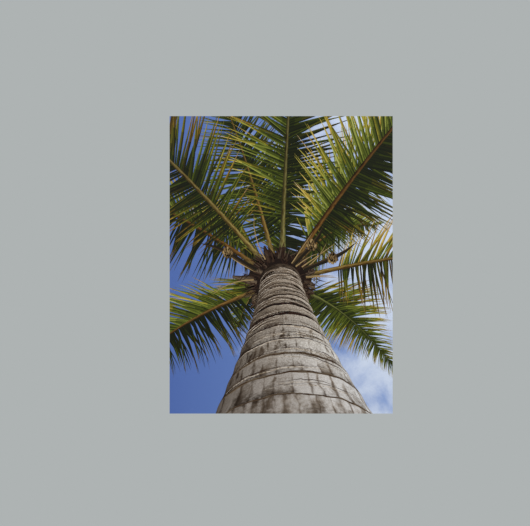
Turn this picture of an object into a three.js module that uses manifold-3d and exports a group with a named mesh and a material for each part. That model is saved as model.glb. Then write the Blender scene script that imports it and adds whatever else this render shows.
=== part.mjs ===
// Self-adhesive vinyl wall print, printed edge to edge with a coconut palm
// that is looked up at from the foot of its trunk.
// Millimetres, +Z up. The printed face looks towards -Y and the wall side lies in the plane y = 0.

import * as THREE from "three";
import Module from "manifold-3d";

const wasm = await Module();
wasm.setup();

// Driving dimensions of the sheet
const SHEET_WIDTH = 457.2;
const SHEET_HEIGHT = 609.6;
const ADHESIVE_THICKNESS = 0.05;
const FILM_THICKNESS = 0.2;
const INK_THICKNESS = 0.03;
const CUT_GAP = 0.3;

// Ink passes, counted outwards from the film
const SKY_PASS = 0;
const BACK_PASS = 1;
const FRONT_PASS = 2;
const LINE_PASS = 3;
const NUT_PASS = 4;

// View of the pictured palm: millimetres on the sheet for each unit of slope, then metres and degrees
const PICTURE_SCALE = 585;
const TRUNK_LEAN = 30;
const TRUNK_SWAY = 2.6;
const CROWN_RIGHT = -0.005;
const CROWN_UP = -0.115;
const CROWN_AWAY = 1.95;
const NEAREST_DRAWN = 0.35;

// Fronds of the palm, in degrees, metres and shares of their length
const FROND_COUNT = 14;
const BACK_FRONDS = 7;
const FIRST_BEARING = 64;
const GOLDEN_ANGLE = 137.5;
const YOUNGEST_TILT = 8;
const TILT_SPAN = 76;
const STIFF_OVERHEAD = 0.25;
const YOUNGEST_BEND = 30;
const BEND_SPAN = 30;
const SHORTEST_FROND = 2.5;
const LENGTH_SPAN = 0.6;
const RIB_STEPS = 40;
const PETIOLE_SHARE = 0.16;
const LEAFLET_END_SHARE = 0.97;
const SPINE_WIDENING = 1.5;

// Leaflets: pitch and half widths from base to tip in millimetres on the sheet, length in metres
const FRONT_LEAFLETS = { pitch: 14, halfWidths: [2.8, 4.4, 0.25] };
const BACK_LEAFLETS = { pitch: 17, halfWidths: [4.6, 0.3] };
const LEAFLET_LENGTH = 0.52;
const LEAFLET_DROOP = 0.4;
const LEAFLET_LIFT = 0.12;
const BASE_SPREAD = 90;
const TIP_SPREAD = 34;
const SPREAD_POWER = 0.7;

// Trunk of the palm, in metres
const TRUNK_LENGTH = 1.36;
const TRUNK_TOP_RADIUS = 0.14;
const TRUNK_FLARE = 0.18;
const FLARE_LENGTH = 1.1;
const FLARE_POWER = 1.6;
const TRUNK_CLEARANCE = 0.001;
const ARC_STEPS = 10;

// Ring scars round the trunk
const RING_COUNT = 12;
const FIRST_RING = 0.05;
const RING_SPAN = 1.04;
const RING_WIDTH = 0.012;
const RING_INSET = 0.05;

// Collar of leaf bases and fibre, and the nuts, in millimetres on the sheet and degrees
const COLLAR_POINTS = 34;
const COLLAR_HALF_WIDTH = 88;
const COLLAR_HALF_HEIGHT = 76;
const COLLAR_NOTCH = 0.78;
const NUT_RADIUS = 9;
const NUT_CORNERS = 12;
const STALK_HALF_WIDTH = 2.2;
const NUT_STALKS = [
  { bearing: 24, reach: 118 },
  { bearing: 49, reach: 98 },
  { bearing: 151, reach: 122 },
];

const radians = THREE.MathUtils.degToRad;
const lean = radians(TRUNK_LEAN);
const sway = radians(TRUNK_SWAY);

// Directions at the palm: along the trunk, across it to the right, and from the trunk over the viewer
const ALONG = new THREE.Vector3(
  -Math.sin(sway),
  Math.cos(sway) * Math.sin(lean),
  Math.cos(sway) * Math.cos(lean),
);
const ACROSS = new THREE.Vector3(
  Math.cos(sway),
  Math.sin(sway) * Math.sin(lean),
  Math.sin(sway) * Math.cos(lean),
);
const OVER = new THREE.Vector3(0, Math.cos(lean), -Math.sin(lean));
const CROWN = new THREE.Vector3(CROWN_RIGHT, CROWN_UP, CROWN_AWAY);
const CENTRE = project(CROWN);

// Where a point of the palm falls on the sheet
function project(point) {
  return new THREE.Vector2(point.x, point.y).multiplyScalar(PICTURE_SCALE / point.z);
}

// Direction square to the trunk at an angle, counted from the right over the viewer
function radial(angle) {
  return new THREE.Vector3()
    .addScaledVector(ACROSS, Math.cos(angle))
    .addScaledVector(OVER, Math.sin(angle));
}

// Direction on the sheet at an angle, counted from the right upwards
function sheetDirection(degrees) {
  return new THREE.Vector2(Math.cos(radians(degrees)), Math.sin(radians(degrees)));
}

// Fronds

// The youngest frond, number 0, stands up, and the older ones lean out and hang
function frondOfAge(number) {
  const age = number / (FROND_COUNT - 1);
  const bearing = radians(FIRST_BEARING + GOLDEN_ANGLE * number);
  const overhead = Math.max(0, Math.sin(bearing));
  const tilt = radians(YOUNGEST_TILT + TILT_SPAN * age ** 0.9) * (1 - STIFF_OVERHEAD * overhead);
  const bend = radians(YOUNGEST_BEND + BEND_SPAN * age);
  const length = SHORTEST_FROND + LENGTH_SPAN * Math.sin(Math.PI * Math.min(1, 0.9 * age + 0.15));
  const rib = ribStations(bearing, tilt, bend, length);
  const ribOnSheet = rib.map(({ point }) => project(point));
  const leaflets = number < BACK_FRONDS ? BACK_LEAFLETS : FRONT_LEAFLETS;
  return { number, bearing, rib, ribOnSheet, leaflets };
}

// Stations along a rib, as far as it is drawn: share of the length, point and direction
function ribStations(bearing, tilt, bend, length) {
  const outwards = radial(bearing);
  const point = CROWN.clone()
    .addScaledVector(ALONG, 0.1 * (1 - Math.min(1, tilt / 1.6)))
    .addScaledVector(outwards, 0.06);
  const stations = [];
  for (let step = 0; step <= RIB_STEPS && point.z > NEAREST_DRAWN; step += 1) {
    const share = step / RIB_STEPS;
    const angle = tilt + bend * share ** 1.6;
    const direction = new THREE.Vector3()
      .addScaledVector(ALONG, Math.cos(angle))
      .addScaledVector(outwards, Math.sin(angle));
    stations.push({ share, point: point.clone(), direction });
    point.addScaledVector(direction, length / RIB_STEPS);
  }
  return stations;
}

// Half the width of a rib, in metres: a broad foot, then an even taper
function ribHalfWidth(share) {
  return 0.017 * (1 - share) ** 1.3 + 0.022 * Math.max(0, 1 - share / 0.06) + 0.002;
}

// Centre line of a rib on the sheet, from a share of its length outwards
function ribCentreLine(frond, from, widening, clearance) {
  return frond.rib
    .filter(({ share }, step) => share >= from && step % 2 === 0)
    .map(({ share, point }) => ({
      at: project(point),
      half: (PICTURE_SCALE * ribHalfWidth(share) * widening) / point.z + clearance,
    }));
}

// Shares of the rib's length at which leaflets stand, an even pitch apart on the sheet
function leafletShares(frond) {
  const shares = [];
  let untilNext = 0;
  for (let step = 1; step < frond.rib.length; step += 1) {
    const run = frond.ribOnSheet[step].distanceTo(frond.ribOnSheet[step - 1]);
    const start = frond.rib[step - 1].share;
    let passed = untilNext;
    for (; passed < run; passed += frond.leaflets.pitch) {
      shares.push(start + passed / run / RIB_STEPS);
    }
    untilNext = passed - run;
  }
  return shares.filter((share) => share >= PETIOLE_SHARE && share <= LEAFLET_END_SHARE);
}

// How full a leaflet is at its place along the blade: shorter at both ends
function leafletFullness(place) {
  return (0.5 + 0.5 * Math.min(1, place / 0.15)) * (1 - Math.max(0, place - 0.35));
}

// Centre line of one leaflet on the sheet, at a share of its whole length
function leafletCentreLine(frond, share, side, shortening) {
  const along = share * RIB_STEPS;
  const first = Math.min(Math.floor(along), frond.rib.length - 2);
  const start = frond.rib[first];
  const end = frond.rib[first + 1];
  const point = start.point.clone().lerp(end.point, along - first);
  const ribDirection = start.direction.clone().lerp(end.direction, along - first).normalize();
  const sideways = new THREE.Vector3().crossVectors(ALONG, radial(frond.bearing));
  const above = new THREE.Vector3().crossVectors(sideways, ribDirection);

  const place = (share - PETIOLE_SHARE) / (1 - PETIOLE_SHARE);
  const fullness = leafletFullness(place);
  const spread = radians(THREE.MathUtils.lerp(BASE_SPREAD, TIP_SPREAD, place ** SPREAD_POWER));
  const heading = new THREE.Vector3()
    .addScaledVector(ribDirection, Math.cos(spread))
    .addScaledVector(sideways, side * Math.sin(spread))
    .addScaledVector(above, LEAFLET_LIFT)
    .normalize();

  const { halfWidths } = frond.leaflets;
  const segments = halfWidths.length - 1;
  return halfWidths.map((halfWidth, step) => {
    const station = { at: project(point), half: halfWidth * fullness };
    point.addScaledVector(heading, (LEAFLET_LENGTH * fullness * shortening) / segments);
    heading.addScaledVector(ALONG, (-LEAFLET_DROOP * (step + 1)) / segments).normalize();
    return station;
  });
}

// Angle round the crown, on the sheet, of a rib where it is this far out
function ribAngle(frond, radius) {
  const line = frond.ribOnSheet;
  const at = line.find((point) => point.distanceTo(CENTRE) >= radius) ?? line[line.length - 1];
  return at.clone().sub(CENTRE).angle();
}

function turnBetween(from, to) {
  return Math.abs(Math.atan2(Math.sin(to - from), Math.cos(to - from)));
}

// Whether a point is nearer to this frond's rib than to the ribs of its neighbours
function isInOwnSpace(point, frond, neighbours) {
  const radius = point.distanceTo(CENTRE);
  const angle = point.clone().sub(CENTRE).angle();
  const own = turnBetween(ribAngle(frond, radius), angle) + CUT_GAP / Math.max(radius, 1);
  return neighbours.every((other) => own < turnBetween(ribAngle(other, radius), angle));
}

// A leaflet as long as its frond's space allows, or none
function fittedLeaflet(frond, share, side, neighbours) {
  for (let shortening = 1; shortening > 0.2; shortening -= 0.1) {
    const line = leafletCentreLine(frond, share, side, shortening);
    if (line.every(({ at }) => isInOwnSpace(at, frond, neighbours))) {
      return line;
    }
  }
  return null;
}

// Centre lines of a blade: its spine, and its leaflets on both sides
function bladeCentreLines(frond, neighbours) {
  const lines = [ribCentreLine(frond, PETIOLE_SHARE, SPINE_WIDENING, 0)];
  for (const share of leafletShares(frond)) {
    for (const side of [-1, 1]) {
      lines.push(fittedLeaflet(frond, share, side, neighbours));
    }
  }
  return lines.filter((line) => line !== null);
}

// Trunk

// A point on the seen face of the trunk: metres below the crown, and share of the way across
function trunkPoint(below, across, clearance) {
  const flare = TRUNK_FLARE * (Math.max(0, below) / FLARE_LENGTH) ** FLARE_POWER;
  const radius = TRUNK_TOP_RADIUS + flare + clearance;
  const viewerToTrunk = -CROWN.dot(OVER);
  const hidden = Math.asin(radius / viewerToTrunk);
  const angle = hidden + (Math.PI - 2 * hidden) * across;
  const point = CROWN.clone().addScaledVector(ALONG, -below);
  return project(point.addScaledVector(radial(angle), radius));
}

// Arc across the trunk, from one share of the way across to the same share from the other edge
function trunkArc(below, clearance, inset = 0) {
  return Array.from({ length: ARC_STEPS + 1 }, (_, step) =>
    trunkPoint(below, THREE.MathUtils.lerp(inset, 1 - inset, step / ARC_STEPS), clearance),
  );
}

function trunkOutline(clearance) {
  const left = [];
  const right = [];
  for (let step = 1; step <= ARC_STEPS; step += 1) {
    const below = (TRUNK_LENGTH * step) / ARC_STEPS;
    left.push(trunkPoint(below, 1, clearance));
    right.unshift(trunkPoint(below, 0, clearance));
  }
  return [...trunkArc(-clearance, clearance), ...left, ...right];
}

// Ring scars lie closer together towards the crown, and fade out just short of the trunk's edges
function ringCentreLine(number) {
  const below = FIRST_RING + RING_SPAN * (number / (RING_COUNT - 1)) ** 1.1;
  const arc = trunkArc(below, 0, RING_INSET);
  const width = arc[0].distanceTo(arc[ARC_STEPS]);
  return arc.map((at, step) => ({
    at,
    half: RING_WIDTH * width * Math.max(0.15, Math.sin((Math.PI * step) / ARC_STEPS) ** 0.4),
  }));
}

// Collar and nuts

function collarOutline(clearance) {
  return Array.from({ length: COLLAR_POINTS }, (_, index) => {
    const direction = sheetDirection((360 * index) / COLLAR_POINTS);
    const reach = index % 2 === 0 ? 1 : COLLAR_NOTCH;
    const halfWidth = COLLAR_HALF_WIDTH * reach + clearance;
    const halfHeight = COLLAR_HALF_HEIGHT * reach + clearance;
    return direction.multiply(new THREE.Vector2(halfWidth, halfHeight)).add(CENTRE);
  });
}

function stalkCentreLine({ bearing, reach }) {
  return [0.5, 1].map((share) => ({
    at: CENTRE.clone().addScaledVector(sheetDirection(bearing), reach * share),
    half: STALK_HALF_WIDTH,
  }));
}

function nutOutline({ bearing, reach }) {
  const middle = CENTRE.clone().addScaledVector(sheetDirection(bearing), reach);
  return Array.from({ length: NUT_CORNERS }, (_, corner) =>
    middle.clone().addScaledVector(sheetDirection((360 * corner) / NUT_CORNERS), NUT_RADIUS),
  );
}

// Slabs, one unit high until their ink pass is known

// Outline of a ribbon that follows a centre line
function ribbonOutline(line, clearance = 0) {
  const left = [];
  const right = [];
  line.forEach(({ at, half }, index) => {
    const before = line[Math.max(0, index - 1)].at;
    const after = line[Math.min(line.length - 1, index + 1)].at;
    const run = after.clone().sub(before).normalize();
    const normal = new THREE.Vector2(-run.y, run.x).multiplyScalar(half + clearance);
    left.push(at.clone().add(normal));
    right.unshift(at.clone().sub(normal));
  });
  return [...left, ...right];
}

function slab(outline, low = 0, high = 1) {
  const shape = new THREE.Shape(outline);
  const geometry = new THREE.ExtrudeGeometry(shape, { depth: high - low, bevelEnabled: false });
  geometry.translate(0, 0, low);
  return toSolid(geometry);
}

// A cutter stands proud of the slabs above and below
function cutter(outline) {
  return slab(outline, -1, 2);
}

function join(solids) {
  return solids.reduce((whole, solid) => whole.add(solid));
}

// Solid from a three.js geometry, with corners that share a place made one
function toSolid(geometry) {
  const position = geometry.getAttribute("position");
  const numbers = new Map();
  const vertices = [];
  const triangles = [];
  for (let corner = 0; corner < position.count; corner += 1) {
    const place = [position.getX(corner), position.getY(corner), position.getZ(corner)];
    const key = place.join(" ");
    if (!numbers.has(key)) {
      numbers.set(key, numbers.size);
      vertices.push(...place);
    }
    triangles.push(numbers.get(key));
  }
  return new wasm.Manifold(
    new wasm.Mesh({
      numProp: 3,
      vertProperties: new Float32Array(vertices),
      triVerts: new Uint32Array(triangles),
    }),
  );
}

// The largest single body of a solid: scraps that a cut leaves apart are dropped
function largestBody(solid) {
  return solid.decompose().reduce((best, body) => (body.volume() > best.volume() ? body : best));
}

// Distance from the wall to the underside of an ink pass
function passHeight(pass) {
  return ADHESIVE_THICKNESS + FILM_THICKNESS + pass * INK_THICKNESS;
}

// Meshes

function finish(colour, roughness) {
  return new THREE.MeshStandardMaterial({ color: colour, roughness, metalness: 0 });
}

function inkMesh(name, solid, pass, colour) {
  const { vertProperties, triVerts } = largestBody(solid).getMesh();
  const positions = new Float32Array(vertProperties);
  for (let index = 2; index < positions.length; index += 3) {
    positions[index] = passHeight(pass + Math.round(positions[index]));
  }
  const geometry = new THREE.BufferGeometry();
  geometry.setAttribute("position", new THREE.BufferAttribute(positions, 3));
  geometry.setIndex(new THREE.BufferAttribute(new Uint32Array(triVerts), 1));
  const mesh = new THREE.Mesh(geometry, finish(colour, 0.45));
  mesh.name = name;
  return mesh;
}

const sheetOutline = [-1, 1].flatMap((side) => [
  new THREE.Vector2((side * SHEET_WIDTH) / 2, (side * SHEET_HEIGHT) / 2),
  new THREE.Vector2((-side * SHEET_WIDTH) / 2, (side * SHEET_HEIGHT) / 2),
]);

// Layer over the whole sheet, between two distances from the wall
function sheetMesh(name, low, high, material) {
  const shape = new THREE.Shape(sheetOutline);
  const geometry = new THREE.ExtrudeGeometry(shape, { depth: high - low, bevelEnabled: false });
  const mesh = new THREE.Mesh(geometry, material);
  mesh.position.z = low;
  mesh.name = name;
  return mesh;
}

function numbered(name, number) {
  return `${name}_${String(number + 1).padStart(2, "0")}`;
}

const sheet = cutter(sheetOutline);
const trunkCutter = cutter(trunkOutline(TRUNK_CLEARANCE));
const headCutter = trunkCutter.add(cutter(collarOutline(CUT_GAP)));
const fronds = Array.from({ length: FROND_COUNT }, (_, number) => frondOfAge(number));

function sheetLayers() {
  const film = passHeight(SKY_PASS);
  const sky = passHeight(SKY_PASS + 1);
  return [
    sheetMesh("adhesive_layer", 0, ADHESIVE_THICKNESS, finish("#d9dcd8", 0.3)),
    sheetMesh("vinyl_film", ADHESIVE_THICKNESS, film, finish("#f2f2ef", 0.5)),
    sheetMesh("ink_sky", film, sky, finish("#6480b8", 0.45)),
  ];
}

// Blades of one pass, nearest first, each cut clear of the trunk's head and of the nearer ones
function bladeMeshes(passFronds, pass) {
  let nearer = headCutter;
  return [...passFronds].reverse().flatMap((frond) => {
    const neighbours = passFronds.filter((other) => other !== frond);
    const lines = bladeCentreLines(frond, neighbours);
    const seen = join(lines.map((line) => slab(ribbonOutline(line)))).intersect(sheet).subtract(nearer);
    nearer = join([nearer, ...lines.map((line) => cutter(ribbonOutline(line, CUT_GAP)))]);
    if (isHidden(frond)) {
      return [];
    }
    const colour = frond.number % 2 === 0 ? "#2e3815" : "#617228";
    return [inkMesh(numbered("ink_frond", frond.number), seen, pass, colour)];
  });
}

// A frond that stands straight behind the trunk is left out, because no part of its rib shows
function isHidden(frond) {
  return ribSolid(frond).subtract(headCutter).isEmpty();
}

function ribSolid(frond) {
  return slab(ribbonOutline(ribCentreLine(frond, 0, 1, 0))).intersect(sheet);
}

// Ribs, nearest first, each cut clear of the trunk's head and of the nearer ones
function ribMeshes() {
  let nearer = headCutter;
  return [...fronds].reverse().flatMap((frond) => {
    const seen = ribSolid(frond).subtract(nearer);
    nearer = nearer.add(cutter(ribbonOutline(ribCentreLine(frond, 0, 1, CUT_GAP))));
    const colour = frond.number % 3 === 0 ? "#b39344" : "#7f6428";
    return isHidden(frond)
      ? []
      : [inkMesh(numbered("ink_rib", frond.number), seen, LINE_PASS, colour)];
  });
}

function trunkMeshes() {
  const trunk = slab(trunkOutline(0)).intersect(sheet);
  const meshes = [inkMesh("ink_trunk", trunk, FRONT_PASS, "#a3988a")];
  for (let number = 0; number < RING_COUNT; number += 1) {
    const ring = slab(ribbonOutline(ringCentreLine(number))).intersect(trunk);
    meshes.push(inkMesh(numbered("ink_ring", number), ring, LINE_PASS, "#4a4038"));
  }
  return meshes;
}

function crownMeshes() {
  const collar = slab(collarOutline(0)).subtract(trunkCutter);
  const nuts = NUT_STALKS.map((stalk, index) => {
    const solid = slab(ribbonOutline(stalkCentreLine(stalk))).add(slab(nutOutline(stalk)));
    return inkMesh(numbered("ink_nut", index), solid, NUT_PASS, "#b89a6c");
  });
  return [inkMesh("ink_collar", collar, FRONT_PASS, "#5b4632"), ...nuts];
}

const picture = new THREE.Group();
picture.rotation.x = Math.PI / 2;
picture.add(
  ...sheetLayers(),
  ...bladeMeshes(fronds.slice(0, BACK_FRONDS), BACK_PASS),
  ...bladeMeshes(fronds.slice(BACK_FRONDS), FRONT_PASS),
  ...ribMeshes(),
  ...trunkMeshes(),
  ...crownMeshes(),
);

export default picture;
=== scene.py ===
"""Looks of a peel-and-stick vinyl wall print, printed edge to edge with a coconut palm.

The palm is drawn as it is seen from the foot of its trunk. Everything is in metres: x to the right
and z up the sheet, and y towards its back, so the printed face looks towards -y.
"""
import math
import random

import bmesh
import bpy
import numpy as np
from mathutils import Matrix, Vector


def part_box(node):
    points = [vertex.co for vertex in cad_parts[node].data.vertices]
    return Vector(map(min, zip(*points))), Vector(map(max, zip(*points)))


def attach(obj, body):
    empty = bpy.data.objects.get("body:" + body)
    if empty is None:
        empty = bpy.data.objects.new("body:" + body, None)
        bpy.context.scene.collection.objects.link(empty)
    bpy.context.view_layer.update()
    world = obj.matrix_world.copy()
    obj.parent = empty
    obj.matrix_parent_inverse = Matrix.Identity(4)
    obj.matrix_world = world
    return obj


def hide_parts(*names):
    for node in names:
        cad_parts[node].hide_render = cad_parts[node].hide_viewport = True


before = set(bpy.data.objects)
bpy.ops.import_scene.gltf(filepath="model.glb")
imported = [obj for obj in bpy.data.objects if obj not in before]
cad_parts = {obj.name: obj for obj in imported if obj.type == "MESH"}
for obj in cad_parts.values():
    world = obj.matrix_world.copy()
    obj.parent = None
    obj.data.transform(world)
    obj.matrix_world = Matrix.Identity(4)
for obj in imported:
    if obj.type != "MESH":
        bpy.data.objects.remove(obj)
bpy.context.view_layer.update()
MM = 0.001

# Sheet, as the frame has it: the film's corners, and how far the sky's face stands from the back
SHEET_LOW, SHEET_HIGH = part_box("vinyl_film")
SKY_FACE = -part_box("ink_sky")[0].y

# View of the pictured palm: metres on the sheet for each unit of slope, then metres and degrees
PICTURE_SCALE = 0.585
TRUNK_LEAN = math.radians(30)
TRUNK_SWAY = math.radians(2.6)
CROWN = np.array((-0.005, -0.115, 1.95))
NEAREST_RIB = 0.35
NEAREST_LEAFLET = 0.3

# Fronds, in degrees, metres and shares of their length
FROND_COUNT = 14
FIRST_BEARING = 64
GOLDEN_ANGLE = 137.5
YOUNGEST_TILT = 8
TILT_WITH_AGE = 76
YOUNGEST_BEND = 30
BEND_WITH_AGE = 30
SHORTEST_FROND = 2.5
FROND_GROWTH = 0.6
HEART_HEIGHT = 0.1
HEART_RADIUS = 0.06
YOUNGEST_PETIOLE = 0.05
PETIOLE_GROWTH = 0.11

# Ribs, in metres at the palm and shares of their length
RIB_STEPS = 40
RIB_HALF_WIDTH = 0.017
RIB_TIP = 0.002
RIB_FOOT = 0.022
RIB_FOOT_SHARE = 0.06

# Leaflets, in metres at the palm and degrees from the rib. The last one stands at a share of its
# length, and the taper is in shares of the half width, from foot to tip.
LEAFLETS_PER_SIDE = 125
LAST_LEAFLET = 0.995
FIRST_SPREAD = 90
SPREAD_LOSS = 56
LEAFLET_LENGTH = 0.52
LEAFLET_HALF_WIDTH = 0.0106
LEAFLET_TAPER = (0.85, 1.0, 0.9, 0.72, 0.5, 0.27, 0.03)
LEAFLET_STRETCHES = 9
LEAFLET_DROOP = 0.8
LEAFLET_LIFT = 0.25
BLADE_SEED = 100

# Light on the leaves, in shares of the ink palette: from the right, and less under the crown
SUN_BEARING = math.radians(35)
ACROSS_SUN = np.array((-0.6, 0.8))
FROND_LIGHT = 0.45
FROND_LIGHT_SWING = 0.09
SIDE_LIGHT = 0.21
CROWN_SHADE = 0.22
SHADE_REACH = 130 * MM
LIGHT_SCATTER = 0.16
LEAFLET_LIGHT = (-0.17, -0.1, -0.02, 0.06, 0.13, 0.18)

# Drying of the leaves: old fronds thirst more, and tips more than feet. What a leaf thirsts for
# beyond its green share takes it through the stages from green to dry.
THIRST_SEED = 5
THIRST_OF_AGE = 0.45
THIRST_BY_CHANCE = 0.55
THIRST_SCATTER = 0.35
TIP_THIRST = 0.84
GREEN_SHARE = 0.56
DRYING_PACE = 3.2

# Trunk and its ring scars, in metres. The scars' half widths, and the margin that they keep at each
# side, are shares of the trunk's breadth.
TRUNK_LENGTH = 1.36
TRUNK_TOP_RADIUS = 0.14
TRUNK_FLARE = 0.18
FLARE_LENGTH = 1.1
FLARE_POWER = 1.6
TRUNK_LIP = 0.0018
EDGE_INSET = math.radians(4)
RING_COUNT = 12
FIRST_RING = 0.05
RING_SPAN = 1.04
RING_CROWDING = 1.1
TRUNK_ROWS = 220
TRUNK_COLUMNS = 41
SCAR_SEED = 41
SCAR_STEPS = 60
SCAR_MARGIN = 0.03
SCAR_HALF_WIDTH = 0.012
FOOT_SCAR_HALF_WIDTHS = (0.005, 0.008)
SOFT_FROM = 0.75
CREASES_AT_CROWN = 9

# Collar of leaf bases and fibres, in metres on the sheet
COLLAR_REACH = np.array((88 * MM, 76 * MM))
COLLAR_SEED = 7
LEAF_BASES = 22
COLLAR_FIBRES = 420
FOOT_FIBRES = 9

# Nuts, in metres on the sheet, with each bunch's bearing in degrees and its way from the crown.
# From one nut of a bunch to the next is a turn in radians, many times round.
NUT_SEED = 19
NUT_RADIUS = 9 * MM
NUTS_PER_BUNCH = 16
NUT_TURN = 137.5
FLOWER_STEMS = 4
NUT_STALKS = ((24, 118 * MM), (49, 98 * MM), (151, 122 * MM))

# Ink stands in thin steps, so that what is nearer in the picture covers what is farther
FROND_STEP = 0.0065 * MM
LEAFLET_STEP = 0.00026 * MM
LEAFLET_STEPS = 24
COLLAR_FACE = SKY_FACE + (FROND_COUNT + 1) * FROND_STEP
COLLAR_STEP = 0.0006 * MM
COLLAR_STEPS = 15
TRUNK_FACE = COLLAR_FACE + (COLLAR_STEPS + 2) * COLLAR_STEP
LINE_STEP = 0.0006 * MM
LIP_FACE = TRUNK_FACE + LINE_STEP
CREASE_FACE = TRUNK_FACE + 2 * LINE_STEP
SCAR_FACE = TRUNK_FACE + 3 * LINE_STEP
NUT_FACE = SCAR_FACE + 0.002 * MM
NUT_STEP = 0.0008 * MM

# Sockets of a colour mix, and the length of one wave of a wave texture whose scale is 1
FACTOR, UNDER, OVERLAY, MIXED = 0, 6, 7, 2
UNIT_WAVE = 0.314

ALONG = np.array((
    -math.sin(TRUNK_SWAY),
    math.cos(TRUNK_SWAY) * math.sin(TRUNK_LEAN),
    math.cos(TRUNK_SWAY) * math.cos(TRUNK_LEAN),
))
ACROSS = np.array((
    math.cos(TRUNK_SWAY),
    math.sin(TRUNK_SWAY) * math.sin(TRUNK_LEAN),
    math.sin(TRUNK_SWAY) * math.cos(TRUNK_LEAN),
))
OVER = np.array((0, math.cos(TRUNK_LEAN), -math.sin(TRUNK_LEAN)))


def on_sheet(point):
    """Where a point of the palm falls on the sheet."""
    return PICTURE_SCALE * point[..., :2] / point[..., 2:]


def radial(angle):
    """Direction square to the trunk, counted from the right over the viewer."""
    return math.cos(angle) * ACROSS + math.sin(angle) * OVER


def sheet_direction(angle):
    return np.array((math.cos(angle), math.sin(angle)))


def unit(vector):
    return vector / np.linalg.norm(vector)


def blend(start, end, share):
    return start + (end - start) * share


def even_steps(values, count):
    """As many values as count says, read off the line through these at even steps."""
    return np.interp(np.linspace(0, 1, count), np.linspace(0, 1, len(values)), values)


CENTRE = on_sheet(CROWN)


# Materials


def linear(hex_colour):
    """Linear red, green, blue and alpha of an sRGB hex value."""
    parts = (int(hex_colour[i : i + 2], 16) / 255 for i in (1, 3, 5))
    return (*(p / 12.92 if p <= 0.04045 else ((p + 0.055) / 1.055) ** 2.4 for p in parts), 1)


def add_node(tree, kind, inputs, **settings):
    """Adds a node, and fills its inputs with values or with links from other nodes' sockets."""
    node = tree.nodes.new(kind)
    for name, value in settings.items():
        setattr(node, name, value)
    for name, value in inputs.items():
        if isinstance(value, bpy.types.NodeSocket):
            tree.links.new(value, node.inputs[name])
        else:
            node.inputs[name].default_value = value
    return node


def colour_stops(node, stops):
    """Gives a colour ramp its stops, as places with hex colours."""
    elements = node.color_ramp.elements
    while len(elements) < len(stops):
        elements.new(1)
    for element, (place, hex_colour) in zip(elements, stops):
        element.position = place
        element.color = linear(hex_colour)
    return node.outputs["Color"]


def printed_vinyl(name, hex_colour):
    """Solvent ink on calendered vinyl: the ink takes the film's satin skin, a soft sheen with a faint
    orange peel. The peel's grain is about 0.4 mm, and is drawn ten times as coarse to show."""
    material = bpy.data.materials.new(name)
    material.use_nodes = True
    tree = material.node_tree
    shader = tree.nodes["Principled BSDF"]
    shader.inputs["Base Color"].default_value = linear(hex_colour)
    shader.inputs["IOR"].default_value = 1.5
    shader.inputs["Specular IOR Level"].default_value = 0.1
    place = add_node(tree, "ShaderNodeTexCoord", {})
    peel = add_node(
        tree,
        "ShaderNodeTexNoise",
        {"Vector": place.outputs["Object"], "Scale": 1 / (4 * MM), "Detail": 2},
    )
    sheen = add_node(
        tree,
        "ShaderNodeMapRange",
        {"Value": peel.outputs["Fac"], "To Min": 0.4, "To Max": 0.52},
    )
    relief = add_node(
        tree,
        "ShaderNodeBump",
        {"Height": peel.outputs["Fac"], "Strength": 0.2, "Distance": 0.02 * MM},
    )
    tree.links.new(sheen.outputs["Result"], shader.inputs["Roughness"])
    tree.links.new(relief.outputs["Normal"], shader.inputs["Normal"])
    return material


def paint(material, colour):
    """Lets a pattern's colour be the material's base colour."""
    tree = material.node_tree
    tree.links.new(colour, tree.nodes["Principled BSDF"].inputs["Base Color"])
    return material


def glazed(tree, skin, layers):
    """A colour under glazes, each of which multiplies it at its own strength."""
    for strength, layer in layers:
        skin = add_node(
            tree,
            "ShaderNodeMix",
            {FACTOR: strength, UNDER: skin, OVERLAY: layer},
            data_type="RGBA",
            blend_type="MULTIPLY",
        ).outputs[MIXED]
    return skin


def sky_ink():
    """The sky is clear blue, deeper on the left, with soft cloud to the right. Its broadest clouds are
    about 110 mm across on the sheet."""
    material = printed_vinyl("sky_ink", "#6D8CC9")
    tree = material.node_tree
    place = add_node(tree, "ShaderNodeTexCoord", {})
    spot = add_node(tree, "ShaderNodeSeparateXYZ", {"Vector": place.outputs["Object"]})
    puffs = add_node(
        tree,
        "ShaderNodeTexNoise",
        {
            "Vector": place.outputs["Object"],
            "Scale": 1 / (110 * MM),
            "Detail": 6,
            "Roughness": 0.62,
            "Distortion": 0.3,
        },
    )
    drift = add_node(
        tree,
        "ShaderNodeMath",
        {0: spot.outputs["X"], 1: 1.1, 2: puffs.outputs["Fac"]},
        operation="MULTIPLY_ADD",
    )
    cover = add_node(
        tree,
        "ShaderNodeMapRange",
        {"Value": drift.outputs[0], "From Min": 0.4, "From Max": 0.85},
        interpolation_type="SMOOTHSTEP",
    )
    depth = add_node(
        tree,
        "ShaderNodeMapRange",
        {"Value": spot.outputs["X"], "From Min": SHEET_LOW.x, "From Max": SHEET_HIGH.x},
    )
    blue = add_node(
        tree,
        "ShaderNodeMix",
        {FACTOR: depth.outputs["Result"], UNDER: linear("#5069A8"), OVERLAY: linear("#7490C8")},
        data_type="RGBA",
    )
    clouded = add_node(
        tree,
        "ShaderNodeMix",
        {FACTOR: cover.outputs["Result"], UNDER: blue.outputs[MIXED], OVERLAY: linear("#CCD5E9")},
        data_type="RGBA",
    )
    return paint(material, clouded.outputs[MIXED])


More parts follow.
